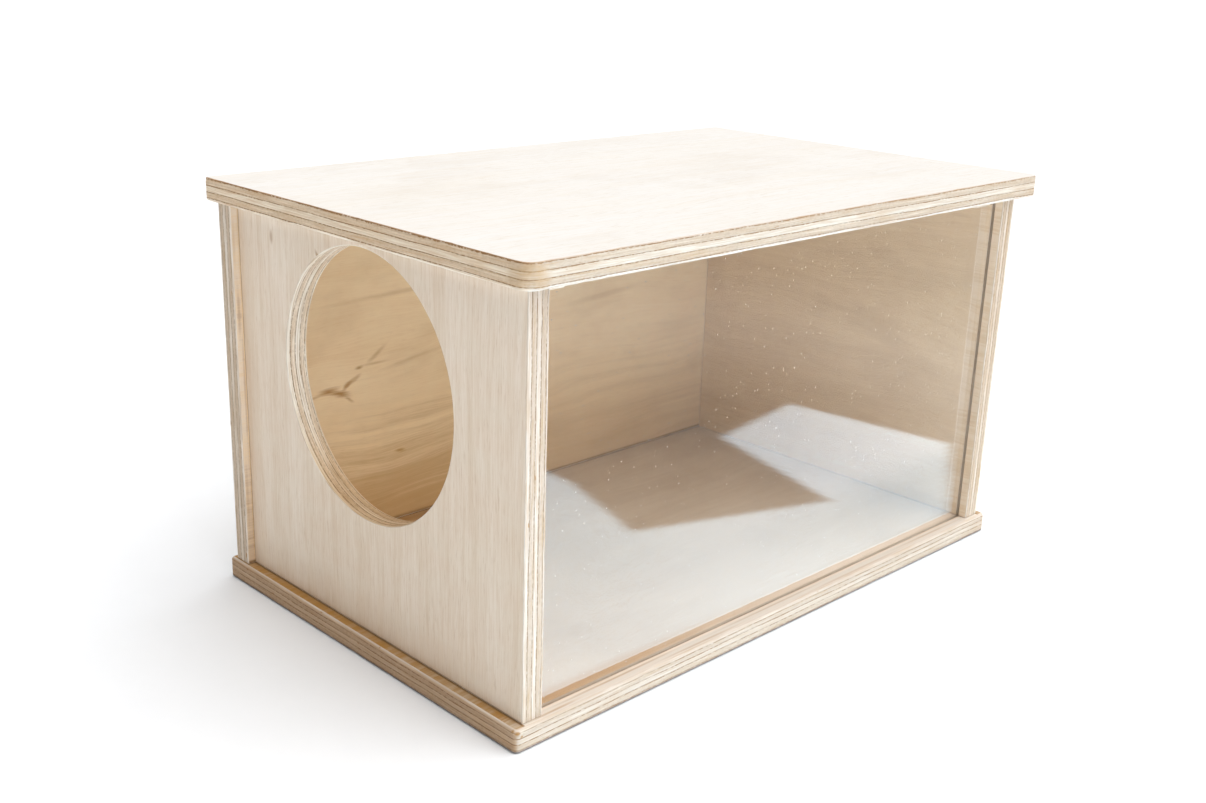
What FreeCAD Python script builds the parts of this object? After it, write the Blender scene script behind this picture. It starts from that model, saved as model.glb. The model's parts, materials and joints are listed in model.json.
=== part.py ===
import FreeCAD, Part
import Sketcher

import os

# A plywood hide box for a hamster: four boards screwed together, a loose lid and a clear front pane.
# Frame: +Z up, +Y to the rear, origin on the ground at the middle of the box. Lengths in millimetres.

DRIVING_SIZES = {
    # boards
    "board": 9.0,                  # thickness of every plywood board
    "wall_height": 153.0,          # side and back panels, from the base's top to the lid's underside
    "body_width": 286.5,           # over the outer faces of the side panels
    "body_depth": 180.5,           # side panels' front edges to the back panel's rear face
    "body_front": 88.5,            # side panels' front edges, in front of the origin
    "back_width": 293.0,           # the back panel's ends stand proud of the side panels
    "base_width": 296.0,
    "base_depth": 186.5,
    "base_front_ledge": 2.25,      # base in front of the side panels
    "base_corner_radius": 2.2,
    "base_edge_radius": 1.5,       # round-over along the base's top edge
    "lid_width": 300.0,
    "lid_depth": 191.0,
    "lid_front_overhang": 7.25,    # lid in front of the side panels
    "lid_front_radius": 5.0,
    "lid_rear_radius": 1.5,
    # entrance
    "entrance_radius": 51.5,
    "entrance_height": 98.0,       # its centre above the side panel's bottom edge
    "entrance_setback": 88.5,      # its centre behind the side panel's front edge
    # pane and its grooves
    "pane_thickness": 3.0,
    "pane_gap": 0.3,               # running clearance of the pane in its grooves
    "pane_top_gap": 0.5,           # pane's top edge below the lid
    "groove_width": 3.6,
    "groove_depth": 4.0,           # in the side panels
    "sill_depth": 3.0,             # depth of the groove in the base
    "groove_setback": 3.7,         # groove's front wall behind the side panels' front edges
    # wood screws
    "screw_length": 25.0,
    "screw_radius": 1.5,
    "screw_head_radius": 3.0,
    "screw_tip": 4.0,
    "screw_sink": 0.3,             # head below the board's face
    "screw_play": 0.1,             # play round the screw in the outer board
    "recess_width": 0.8,           # cross recess in the head
    "recess_span": 3.0,
    "recess_depth": 1.2,
    "side_screw_start": 18.5,      # first base screw behind the side panel's front edge
    "side_screw_pitch": 67.5,
    "back_screw_start": 56.5,      # first base screw from the back panel's left end
    "back_screw_pitch": 90.0,
    "rear_screw_start": 21.0,      # lowest rear screw above the panels' bottom edge
    "rear_screw_pitch": 55.0,
    # lid blocks and their pins
    "block_length": 30.0,
    "block_width": 12.0,
    "block_thickness": 5.0,
    "block_gap": 0.6,              # between a block and the wall beside it
    "block_chamfer": 0.8,
    "pin_length": 10.0,
    "pin_radius": 0.7,
    "pin_head_radius": 1.2,
    "pin_head_height": 0.8,
    "pin_inset": 7.0,              # pin from the block's end
}

SCREWS_PER_EDGE = 3
PINS_PER_BLOCK = 2

doc = FreeCAD.newDocument("hide_box")


def make_sheet(values):
    """Put every driving size into a spreadsheet cell with an alias."""
    sheet = doc.addObject("Spreadsheet::Sheet", "Sizes")
    for row, (alias, value) in enumerate(values.items(), start=1):
        sheet.set(f"A{row}", alias)
        sheet.set(f"B{row}", str(value))
        sheet.setAlias(f"B{row}", alias)
    doc.recompute()
    return sheet


make_sheet(DRIVING_SIZES)

# Expressions that several parts share.
FRONT = "-Sizes.body_front"
REAR = "Sizes.body_depth - Sizes.body_front"
SIDE_DEPTH = "Sizes.body_depth - Sizes.board"
WALL_TOP = "Sizes.board + Sizes.wall_height"
PANE_REAR = f"{FRONT} + Sizes.groove_setback + Sizes.pane_gap + Sizes.pane_thickness"
INNER_HALF = "Sizes.body_width / 2 - Sizes.board"


# ---------------------------------------------------------------- helpers

def place(obj, x="0", y="0", z="0"):
    """Bind an object's position to expressions."""
    for axis, expression in zip("xyz", (x, y, z)):
        obj.setExpression(f"Placement.Base.{axis}", expression)


def new_body(label):
    body = doc.addObject("PartDesign::Body", label)
    body.Label = label
    return body


def new_sketch(body, name, role, lift="0"):
    """Make a sketch on one of the body's own origin planes, lifted along the plane's normal."""
    sketch = body.newObject("Sketcher::SketchObject", name)
    plane = next(feature for feature in body.Origin.OriginFeatures if feature.Role == role)
    sketch.AttachmentSupport = [(plane, "")]
    sketch.MapMode = "FlatFace"
    sketch.setExpression("AttachmentOffset.Base.z", lift)
    return sketch


def dimension(sketch, name, expression, kind, *where):
    """Add a named dimension to the sketch and bind it to an expression."""
    index = sketch.addConstraint(Sketcher.Constraint(kind, *where, 1.0))
    sketch.renameConstraint(index, name)
    sketch.setExpression(f"Constraints.{name}", expression)


def draw_rectangle(sketch, width, height, left="0", bottom="0"):
    """Draw a rectangle whose lower left corner stands at (left, bottom)."""
    corners = [FreeCAD.Vector(x, y, 0) for x, y in ((1, 1), (3, 1), (3, 2), (1, 2))]
    lines = [
        sketch.addGeometry(Part.LineSegment(corners[i], corners[(i + 1) % 4]), False)
        for i in range(4)
    ]
    for i in range(4):
        sketch.addConstraint(Sketcher.Constraint("Coincident", lines[i], 2, lines[(i + 1) % 4], 1))
        sketch.addConstraint(Sketcher.Constraint("Horizontal" if i % 2 == 0 else "Vertical", lines[i]))
    dimension(sketch, "width", width, "DistanceX", lines[0], 1, lines[0], 2)
    dimension(sketch, "height", height, "DistanceY", lines[1], 1, lines[1], 2)
    if left == "0" and bottom == "0":
        sketch.addConstraint(Sketcher.Constraint("Coincident", lines[0], 1, -1, 1))
    else:
        dimension(sketch, "left", left, "DistanceX", -1, 1, lines[0], 1)
        dimension(sketch, "bottom", bottom, "DistanceY", -1, 1, lines[0], 1)


def draw_circles(sketch, centres, radius):
    """Draw one circle of the given radius at each (x, y) pair of expressions."""
    for number, (x, y) in enumerate(centres):
        circle = sketch.addGeometry(
            Part.Circle(FreeCAD.Vector(1 + number, 1, 0), FreeCAD.Vector(0, 0, 1), 0.4), False)
        dimension(sketch, f"radius_{number}", radius, "Radius", circle)
        dimension(sketch, f"x_{number}", x, "DistanceX", -1, 1, circle, 3)
        dimension(sketch, f"y_{number}", y, "DistanceY", -1, 1, circle, 3)


def pad(body, sketch, length, backwards=False):
    feature = body.newObject("PartDesign::Pad", f"{sketch.Name}_pad")
    feature.Profile = sketch
    feature.setExpression("Length", length)
    feature.Reversed = backwards
    doc.recompute()
    return feature


def pocket(body, sketch, length=None, backwards=False):
    """Cut the sketch into the body, to a depth or, with no length, right through."""
    before = body.Shape.Volume
    feature = body.newObject("PartDesign::Pocket", f"{sketch.Name}_pocket")
    feature.Profile = sketch
    if length is None:
        feature.Type = "ThroughAll"
        feature.Midplane = True
    else:
        feature.setExpression("Length", length)
    feature.Reversed = backwards
    doc.recompute()
    if body.Shape.Volume >= before:
        raise RuntimeError(f"{feature.Name} removed nothing")
    return feature


def countersink(body, sketch, backwards=False):
    """Drill countersunk screw holes right through the board at the sketch's circles."""
    before = body.Shape.Volume
    feature = body.newObject("PartDesign::Hole", f"{sketch.Name}_hole")
    feature.Profile = sketch
    doc.recompute()
    feature.ThreadType = "None"
    feature.DepthType = "ThroughAll"
    feature.HoleCutType = "Countersink"
    feature.HoleCutCountersinkAngle = 90.0
    feature.setExpression("Diameter", "2 * (Sizes.screw_radius + Sizes.screw_play)")
    feature.setExpression(
        "HoleCutDiameter", "2 * (Sizes.screw_head_radius + Sizes.screw_sink + Sizes.screw_play)")
    feature.Reversed = backwards
    doc.recompute()
    if body.Shape.Volume >= before:
        raise RuntimeError(f"{feature.Name} removed nothing")
    return feature


def edge_names(shape, test):
    """Name the shape's edges that pass the test, which is given the edge's and the shape's boxes."""
    whole = shape.BoundBox
    return [f"Edge{i}" for i, edge in enumerate(shape.Edges, start=1) if test(edge.BoundBox, whole)]


def round_edges(body, name, test, radius):
    """Fillet the body's edges that pass the test."""
    base = body.Tip
    feature = body.newObject("PartDesign::Fillet", name)
    feature.Base = (base, edge_names(base.Shape, test))
    feature.setExpression("Radius", radius)
    body.Tip = feature
    doc.recompute()
    return feature


def chamfer_edges(body, name, test, size):
    """Chamfer the body's edges that pass the test."""
    base = body.Tip
    feature = body.newObject("PartDesign::Chamfer", name)
    feature.Base = (base, edge_names(base.Shape, test))
    feature.setExpression("Size", size)
    body.Tip = feature
    doc.recompute()
    return feature


def is_upright(edge, whole):
    return edge.XLength < 0.01 and edge.YLength < 0.01


def is_front_upright(edge, whole):
    return is_upright(edge, whole) and edge.YMax < whole.Center.y


def is_rear_upright(edge, whole):
    return is_upright(edge, whole) and edge.YMin > whole.Center.y


def is_on_top(edge, whole):
    return edge.ZMin > whole.ZMax - 0.01


def is_on_bottom(edge, whole):
    return edge.ZMax < whole.ZMin + 0.01


def spaced(start, pitch, count):
    """Expressions for evenly spaced positions."""
    return [f"{start} + {i} * {pitch}" for i in range(count)]


# Screw positions along each joint, from the corner of the panel that the screws go into.
SIDE_SCREWS = spaced("Sizes.side_screw_start", "Sizes.side_screw_pitch", SCREWS_PER_EDGE)
BACK_SCREWS = spaced("Sizes.back_screw_start", "Sizes.back_screw_pitch", SCREWS_PER_EDGE)
REAR_SCREWS = spaced("Sizes.rear_screw_start", "Sizes.rear_screw_pitch", SCREWS_PER_EDGE)
SIDE_MIDDLE = "(Sizes.body_width / 2 - Sizes.board / 2)"
BASE_SCREW_PLACES = (
    [(f"-{SIDE_MIDDLE}", f"{FRONT} + {along}") for along in SIDE_SCREWS]
    + [(SIDE_MIDDLE, f"{FRONT} + {along}") for along in SIDE_SCREWS]
    + [(f"-Sizes.back_width / 2 + {along}", f"{REAR} - Sizes.board / 2") for along in BACK_SCREWS]
)
BACK_SCREW_PLACES = [(f"{sign}{SIDE_MIDDLE}", f"Sizes.board + {up}") for sign in ("-", "") for up in REAR_SCREWS]


# ---------------------------------------------------------------- boards

def make_base_plate():
    """Base board with a rounded top edge, a stopped groove for the pane and nine screw holes."""
    left = "Sizes.base_width / 2"
    front = "(Sizes.body_front + Sizes.base_front_ledge)"
    body = new_body("base_plate")
    place(body, f"-{left}", f"-{front}")

    outline = new_sketch(body, "base_outline", "XY_Plane")
    draw_rectangle(outline, "Sizes.base_width", "Sizes.base_depth")
    pad(body, outline, "Sizes.board")
    round_edges(body, "base_corners", is_upright, "Sizes.base_corner_radius")
    round_edges(body, "base_top_edge", is_on_top, "Sizes.base_edge_radius")

    sill = new_sketch(body, "base_sill", "XY_Plane", "Sizes.board")
    draw_rectangle(
        sill,
        "Sizes.body_width - 2 * Sizes.board + 2 * Sizes.groove_depth",
        "Sizes.groove_width",
        f"{left} - ({INNER_HALF}) - Sizes.groove_depth",
        "Sizes.base_front_ledge + Sizes.groove_setback",
    )
    pocket(body, sill, "Sizes.sill_depth")

    holes = new_sketch(body, "base_screw_holes", "XY_Plane")
    centres = [(f"{left} + {x}", f"{front} + {y}") for x, y in BASE_SCREW_PLACES]
    draw_circles(holes, centres, "Sizes.screw_radius")
    countersink(body, holes, backwards=True)
    return body


def make_side_panel(label, left_face, groove_at, with_entrance):
    """Upright side board: pane groove in its inner face, pilot holes for the screws."""
    body = new_body(label)
    place(body, left_face, FRONT, "Sizes.board")

    outline = new_sketch(body, f"{label}_outline", "YZ_Plane")
    draw_rectangle(outline, SIDE_DEPTH, "Sizes.wall_height")
    pad(body, outline, "Sizes.board")

    groove = new_sketch(body, f"{label}_groove", "XY_Plane")
    draw_rectangle(groove, "Sizes.groove_depth", "Sizes.groove_width", groove_at, "Sizes.groove_setback")
    pocket(body, groove, "Sizes.wall_height", backwards=True)

    if with_entrance:
        entrance = new_sketch(body, f"{label}_entrance", "YZ_Plane")
        draw_circles(entrance, [("Sizes.entrance_setback", "Sizes.entrance_height")], "Sizes.entrance_radius")
        pocket(body, entrance)

    pilot_depth = "Sizes.screw_length + Sizes.screw_sink - Sizes.board"
    bottom = new_sketch(body, f"{label}_bottom_pilots", "XY_Plane")
    draw_circles(bottom, [("Sizes.board / 2", along) for along in SIDE_SCREWS], "Sizes.screw_radius")
    pocket(body, bottom, pilot_depth, backwards=True)

    rear = new_sketch(body, f"{label}_rear_pilots", "XZ_Plane", f"-({SIDE_DEPTH})")
    draw_circles(rear, [("Sizes.board / 2", up) for up in REAR_SCREWS], "Sizes.screw_radius")
    pocket(body, rear, pilot_depth, backwards=True)
    return body


def make_back_panel():
    """Back board, with screw holes into the side panels and pilot holes for the base's screws."""
    left = "Sizes.back_width / 2"
    body = new_body("back_panel")
    place(body, f"-{left}", f"{REAR} - Sizes.board", "Sizes.board")

    outline = new_sketch(body, "back_outline", "XZ_Plane")
    draw_rectangle(outline, "Sizes.back_width", "Sizes.wall_height")
    pad(body, outline, "Sizes.board", backwards=True)

    bottom = new_sketch(body, "back_bottom_pilots", "XY_Plane")
    draw_circles(bottom, [(along, "Sizes.board / 2") for along in BACK_SCREWS], "Sizes.screw_radius")
    pocket(body, bottom, "Sizes.screw_length + Sizes.screw_sink - Sizes.board", backwards=True)

    holes = new_sketch(body, "back_screw_holes", "XZ_Plane", "-Sizes.board")
    centres = [(f"{left} + {x}", f"{z} - Sizes.board") for x, z in BACK_SCREW_PLACES]
    draw_circles(holes, centres, "Sizes.screw_radius")
    countersink(body, holes, backwards=True)
    return body


def make_front_pane():
    """Clear sheet that stands in the grooves of the side panels and the base."""
    half_width = f"({INNER_HALF} + Sizes.groove_depth - Sizes.pane_gap)"
    bottom = "(Sizes.board - Sizes.sill_depth + Sizes.pane_gap)"
    body = new_body("front_pane")
    place(body, f"-{half_width}", f"{FRONT} + Sizes.groove_setback + Sizes.pane_gap", bottom)
    outline = new_sketch(body, "pane_outline", "XZ_Plane")
    draw_rectangle(outline, f"2 * {half_width}", f"{WALL_TOP} - Sizes.pane_top_gap - {bottom}")
    pad(body, outline, "Sizes.pane_thickness", backwards=True)
    return body


# ---------------------------------------------------------------- lid and its blocks

# Low corner of each block under the lid: it stands beside a side panel and behind the pane or in front
# of the back panel.
BLOCK_LEFT = f"-({INNER_HALF}) + Sizes.block_gap"
BLOCK_RIGHT = f"{INNER_HALF} - Sizes.block_gap - Sizes.block_width"
BLOCK_FRONT = f"{PANE_REAR} + Sizes.block_gap"
BLOCK_REAR = f"{REAR} - Sizes.board - Sizes.block_gap - Sizes.block_length"
BLOCKS = {
    "lid_block_front_left": (BLOCK_LEFT, BLOCK_FRONT),
    "lid_block_front_right": (BLOCK_RIGHT, BLOCK_FRONT),
    "lid_block_rear_left": (BLOCK_LEFT, BLOCK_REAR),
    "lid_block_rear_right": (BLOCK_RIGHT, BLOCK_REAR),
}
PIN_STEPS = spaced("Sizes.pin_inset", "(Sizes.block_length - 2 * Sizes.pin_inset)", PINS_PER_BLOCK)
PIN_PLACES = [
    (f"{x} + Sizes.block_width / 2", f"{y} + {along}") for x, y in BLOCKS.values() for along in PIN_STEPS
]


def make_lid_plate():
    """Loose lid board, rounder at its front corners, with blind holes for the blocks' pins."""
    left = "Sizes.lid_width / 2"
    front = "(Sizes.body_front + Sizes.lid_front_overhang)"
    body = new_body("lid_plate")
    place(body, f"-{left}", f"-{front}", WALL_TOP)

    outline = new_sketch(body, "lid_outline", "XY_Plane")
    draw_rectangle(outline, "Sizes.lid_width", "Sizes.lid_depth")
    pad(body, outline, "Sizes.board")
    round_edges(body, "lid_rear_corners", is_rear_upright, "Sizes.lid_rear_radius")
    round_edges(body, "lid_front_corners", is_front_upright, "Sizes.lid_front_radius")

    pilots = new_sketch(body, "lid_pin_pilots", "XY_Plane")
    draw_circles(pilots, [(f"{left} + {x}", f"{front} + {y}") for x, y in PIN_PLACES], "Sizes.pin_radius")
    pocket(body, pilots, "Sizes.pin_length - Sizes.block_thickness", backwards=True)
    return body


def make_lid_block(label, x, y):
    """Small block under the lid with its lower edges chamfered and two counterbored pin holes."""
    body = new_body(label)
    place(body, x, y, f"{WALL_TOP} - Sizes.block_thickness")
    outline = new_sketch(body, f"{label}_outline", "XY_Plane")
    draw_rectangle(outline, "Sizes.block_width", "Sizes.block_length")
    pad(body, outline, "Sizes.block_thickness")
    chamfer_edges(body, f"{label}_chamfer", is_on_bottom, "Sizes.block_chamfer")

    centres = [("Sizes.block_width / 2", along) for along in PIN_STEPS]
    shanks = new_sketch(body, f"{label}_pin_holes", "XY_Plane")
    draw_circles(shanks, centres, "Sizes.pin_radius")
    pocket(body, shanks, "Sizes.block_thickness", backwards=True)
    heads = new_sketch(body, f"{label}_pin_heads", "XY_Plane")
    draw_circles(heads, centres, "Sizes.pin_head_radius")
    pocket(body, heads, "Sizes.pin_head_height", backwards=True)
    return body


# ---------------------------------------------------------------- fasteners

def make_screw(name, x, y, z, towards_front=False):
    """Countersunk wood screw with a cross recess. Its head's face is at (x, y, z), its tip points up,
    or to the front when it lies."""
    parts = []
    head = doc.addObject("Part::Cone", f"{name}_head")
    head.setExpression("Radius1", "Sizes.screw_head_radius")
    head.setExpression("Radius2", "Sizes.screw_radius")
    head.setExpression("Height", "Sizes.screw_head_radius - Sizes.screw_radius")
    parts.append(head)

    shank = doc.addObject("Part::Cylinder", f"{name}_shank")
    shank.setExpression("Radius", "Sizes.screw_radius")
    shank.setExpression("Height", "Sizes.screw_length - Sizes.screw_tip")
    parts.append(shank)

    tip = doc.addObject("Part::Cone", f"{name}_tip")
    tip.setExpression("Radius1", "Sizes.screw_radius")
    tip.Radius2 = 0.0
    tip.setExpression("Height", "Sizes.screw_tip")
    place(tip, z="Sizes.screw_length - Sizes.screw_tip")
    parts.append(tip)

    blank = doc.addObject("Part::MultiFuse", f"{name}_blank")
    blank.Shapes = parts

    slots = []
    for direction, (length, width) in {
        "across": ("recess_span", "recess_width"),
        "along": ("recess_width", "recess_span"),
    }.items():
        slot = doc.addObject("Part::Box", f"{name}_recess_{direction}")
        slot.setExpression("Length", f"Sizes.{length}")
        slot.setExpression("Width", f"Sizes.{width}")
        slot.setExpression("Height", "Sizes.recess_depth")
        place(slot, f"-Sizes.{length} / 2", f"-Sizes.{width} / 2")
        slots.append(slot)
    recess = doc.addObject("Part::MultiFuse", f"{name}_recess")
    recess.Shapes = slots

    screw = doc.addObject("Part::Cut", name)
    screw.Base = blank
    screw.Tool = recess
    if towards_front:
        screw.Placement.Rotation = FreeCAD.Rotation(FreeCAD.Vector(1, 0, 0), 90)
    place(screw, x, y, z)
    return screw


def make_pin(name, x, y):
    """Brad with a flat head: its head's face is flush with the block's underside."""
    head = doc.addObject("Part::Cylinder", f"{name}_head")
    head.setExpression("Radius", "Sizes.pin_head_radius")
    head.setExpression("Height", "Sizes.pin_head_height")
    shank = doc.addObject("Part::Cylinder", f"{name}_shank")
    shank.setExpression("Radius", "Sizes.pin_radius")
    shank.setExpression("Height", "Sizes.pin_length")
    pin = doc.addObject("Part::MultiFuse", name)
    pin.Shapes = [head, shank]
    place(pin, x, y, f"{WALL_TOP} - Sizes.block_thickness")
    return pin


def make_group(label, members):
    """Collect identical fasteners, each its own solid, in one node."""
    group = doc.addObject("Part::Compound", label)
    group.Label = label
    group.Links = members
    return group


def make_base_screws():
    screws = [
        make_screw(f"base_screw_{number}", x, y, "Sizes.screw_sink")
        for number, (x, y) in enumerate(BASE_SCREW_PLACES)
    ]
    return make_group("base_screws", screws)


def make_back_screws():
    screws = [
        make_screw(f"back_screw_{number}", x, f"{REAR} - Sizes.screw_sink", z, towards_front=True)
        for number, (x, z) in enumerate(BACK_SCREW_PLACES)
    ]
    return make_group("back_screws", screws)


def make_block_pins():
    pins = [make_pin(f"block_pin_{number}", x, y) for number, (x, y) in enumerate(PIN_PLACES)]
    return make_group("block_pins", pins)


# ---------------------------------------------------------------- the whole box

nodes = [
    make_base_plate(),
    make_side_panel("left_side_panel", "-Sizes.body_width / 2", "Sizes.board - Sizes.groove_depth", True),
    make_side_panel("right_side_panel", INNER_HALF, "0", False),
    make_back_panel(),
    make_front_pane(),
    make_lid_plate(),
    *[make_lid_block(label, x, y) for label, (x, y) in BLOCKS.items()],
    make_base_screws(),
    make_back_screws(),
    make_block_pins(),
]
doc.recompute()

for obj in doc.Objects:
    if "Invalid" in obj.State or "Error" in obj.State:
        raise RuntimeError(f"{obj.Name} failed: {obj.State}")
for node in nodes:
    if node.Shape.isNull() or not node.Shape.isValid():
        raise RuntimeError(f"{node.Label} has no valid shape")

os.makedirs("parts", exist_ok=True)
for node in nodes:
    node.Shape.exportStep(f"parts/{node.Label}.step")
    box = node.Shape.BoundBox
    print(
        f"{node.Label}: {len(node.Shape.Solids)} solids, {node.Shape.Volume / 1000:.2f} cm3,",
        f"x {box.XMin:.2f} {box.XMax:.2f} y {box.YMin:.2f} {box.YMax:.2f} z {box.ZMin:.2f} {box.ZMax:.2f}",
    )
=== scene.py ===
import json
import math
import random

import bmesh
import bpy
from mathutils import Matrix, Vector, noise


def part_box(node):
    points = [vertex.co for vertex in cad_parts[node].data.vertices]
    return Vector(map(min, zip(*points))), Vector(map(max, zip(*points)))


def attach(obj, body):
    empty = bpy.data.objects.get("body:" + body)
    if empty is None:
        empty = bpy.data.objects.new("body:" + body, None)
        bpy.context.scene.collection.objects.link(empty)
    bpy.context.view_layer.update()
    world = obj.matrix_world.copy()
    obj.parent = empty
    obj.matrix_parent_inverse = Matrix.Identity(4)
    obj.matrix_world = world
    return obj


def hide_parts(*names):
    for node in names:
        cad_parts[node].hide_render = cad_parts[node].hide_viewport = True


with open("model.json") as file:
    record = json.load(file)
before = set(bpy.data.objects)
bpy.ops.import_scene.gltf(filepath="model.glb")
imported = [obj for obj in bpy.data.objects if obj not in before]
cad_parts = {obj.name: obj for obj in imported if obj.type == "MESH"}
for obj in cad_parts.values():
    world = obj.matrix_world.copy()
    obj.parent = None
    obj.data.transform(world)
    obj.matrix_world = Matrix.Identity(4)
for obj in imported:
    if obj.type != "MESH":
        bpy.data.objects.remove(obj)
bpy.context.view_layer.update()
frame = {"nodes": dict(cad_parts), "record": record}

# A plywood hide box: five boards, a clear pane in grooves, a loose lid with four blocks, screws and brads.
# The size and place of the boards, blocks and pane, and the place of every screw and brad, come from the packed
# model. Lengths are in metres, but names in _mm or _MM, and the materials' own figures (marks, stains, seams,
# spots), are in millimetres.

MM = 0.001
X, Y, Z = 0, 1, 2
OUTLINE_STEP = 1.2 * MM        # spacing of the vertices along a board's outline
GLUE_GROOVE = 0.07 * MM        # depth of the groove left at each glue line
GLUE_HALF_WIDTH = 0.11 * MM    # half the width of that groove
LEVEL_GAP = 0.02 * MM          # levels that lie closer than this become one
FIBRE_ROUGHNESS = 0.035 * MM   # how far the sawn fibres leave an edge uneven
CHIP_DEPTH = 0.55 * MM         # the deepest chip in an arris
CHIP_REACH = 1.1 * MM          # how far from its face a chip runs across the edge
ARRIS = 0.35 * MM              # rounding of a sanded edge
ON_FACE = 0.02 * MM            # a polygon this close to a board's face lies on it
RIM_STEPS = 288                # segments round the entrance
SMOOTH_DEGREES = 32.0          # a sharper edge isn't shaded smooth
FLAT_AREA = 6 * MM * MM        # a bigger polygon is a broad flat face

random.seed(20)


# ---------------------------------------------------------------- meshes

def shade(mesh):
    """Smooth shading except at real edges and on the broad flat faces."""
    mesh.shade_smooth()
    mesh.set_sharp_from_angle(angle=math.radians(SMOOTH_DEGREES))
    for polygon in mesh.polygons:
        polygon.use_smooth = polygon.area < FLAT_AREA


def finish_mesh(name, bm):
    """Turn a bmesh into an object with outward normals."""
    bmesh.ops.recalc_face_normals(bm, faces=bm.faces)
    mesh = bpy.data.meshes.new(name)
    bm.to_mesh(mesh)
    bm.free()
    shade(mesh)
    obj = bpy.data.objects.new(name, mesh)
    bpy.context.scene.collection.objects.link(obj)
    return obj


def loft(bm, rings):
    """Join rings of equal length into a closed skin with a face at each end."""
    loops = [[bm.verts.new(point) for point in ring] for ring in rings]
    count = len(loops[0])
    for low, high in zip(loops, loops[1:]):
        for i in range(count):
            j = (i + 1) % count
            bm.faces.new((low[i], low[j], high[j], high[i]))
    bm.faces.new(loops[0][::-1])
    bm.faces.new(loops[-1])


def rounded_outline(low, high, radii):
    """Points and outward normals of a rectangle with rounded corners, anticlockwise from the lower right."""
    corners = [(1, -1), (1, 1), (-1, 1), (-1, -1)]
    centres = []
    for (sx, sy), radius in zip(corners, radii):
        centres.append((
            (high[0] - radius) if sx > 0 else (low[0] + radius),
            (high[1] - radius) if sy > 0 else (low[1] + radius),
        ))
    points = []
    for k, (centre, radius) in enumerate(zip(centres, radii)):
        arc_steps = max(5, math.ceil(radius * math.pi / 2 / OUTLINE_STEP))
        for i in range(arc_steps + 1):
            angle = math.radians(-90 + 90 * (k + i / arc_steps))
            normal = (math.cos(angle), math.sin(angle))
            points.append(((centre[0] + radius * normal[0], centre[1] + radius * normal[1]), normal))
        following = (k + 1) % 4
        end = (
            centres[following][0] + radii[following] * normal[0],
            centres[following][1] + radii[following] * normal[1],
        )
        start = points[-1][0]
        run_steps = max(1, round(math.dist(start, end) / OUTLINE_STEP))
        for i in range(1, run_steps):
            share = i / run_steps
            points.append((
                (start[0] + (end[0] - start[0]) * share, start[1] + (end[1] - start[1]) * share),
                normal,
            ))
    return points


def arc_levels(radius, steps):
    """(height, inset) pairs up a quarter round that starts on a face."""
    levels = []
    for i in range(steps + 1):
        angle = math.pi / 2 * i / steps
        levels.append((radius * (1 - math.cos(angle)), radius * (1 - math.sin(angle))))
    return levels


def edge_levels(thickness, glue_lines, low_round, high_round):
    """(height, inset) pairs across a board's edge: rounded arrises and a fine groove at each glue line."""
    low_steps, high_steps = (4 if radius < MM else 8 for radius in (low_round, high_round))
    levels = arc_levels(low_round, low_steps)
    levels += [(thickness - height, inset) for height, inset in arc_levels(high_round, high_steps)]

    def inset_at(height):
        for radius, distance in ((low_round, height), (high_round, thickness - height)):
            if distance < radius:
                return radius - math.sqrt(radius ** 2 - (radius - distance) ** 2)
        return 0.0

    for line in glue_lines:
        low, high = line - GLUE_HALF_WIDTH, line + GLUE_HALF_WIDTH
        levels += [(low, inset_at(low)), (line, inset_at(line) + GLUE_GROOVE), (high, inset_at(high))]
    for low, high in zip((0.0, *glue_lines), (*glue_lines, thickness)):
        middle = (low + high) / 2
        levels.append((middle, inset_at(middle)))
    levels.sort()
    kept = [levels[0]]
    for height, inset in levels[1:]:
        if height - kept[-1][0] > LEVEL_GAP:
            kept.append((height, inset))
    return kept


def chip_depths(count, chips):
    """How much of the arris is missing at each point of the outline."""
    depths = [0.0] * count
    for _ in range(chips):
        at = random.randrange(count)
        half_length = random.choice((1, 1, 2, 2, 3, 5))
        depth = CHIP_DEPTH * random.uniform(0.3, 1.0)
        for i in range(-half_length, half_length + 1):
            share = 1 - abs(i) / (half_length + 1)
            j = (at + i) % count
            depths[j] = max(depths[j], depth * share * random.uniform(0.7, 1.0))
    return depths


def board_mesh(name, low, high, axes, radii, glue_lines, rounds, chips):
    """A board between two corners of its box. axes are its two plane axes and its thickness axis."""
    a, b, w = axes
    thickness = high[w] - low[w]
    outline = rounded_outline((low[a], low[b]), (high[a], high[b]), radii)
    levels = edge_levels(thickness, glue_lines, *rounds)
    low_chips = chip_depths(len(outline), chips)
    high_chips = chip_depths(len(outline), chips)
    rings = []
    for height, inset in levels:
        near_low = max(0.0, 1 - height / CHIP_REACH)
        near_high = max(0.0, 1 - (thickness - height) / CHIP_REACH)
        ring = []
        for i, ((pa, pb), (na, nb)) in enumerate(outline):
            fine = noise.noise(Vector((pa / MM * 0.45, pb / MM * 0.45, height / MM * 1.7)))
            broad = noise.noise(Vector((pa / MM * 0.05, pb / MM * 0.05, height / MM * 0.4 + 9)))
            bite = FIBRE_ROUGHNESS * (1 + 0.7 * fine + 0.7 * broad)
            bite += low_chips[i] * near_low + high_chips[i] * near_high
            point = [0.0, 0.0, 0.0]
            point[a] = pa - na * (inset + bite)
            point[b] = pb - nb * (inset + bite)
            point[w] = low[w] + height
            ring.append(point)
        rings.append(ring)
    bm = bmesh.new()
    loft(bm, rings)
    return finish_mesh(name, bm)


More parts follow.
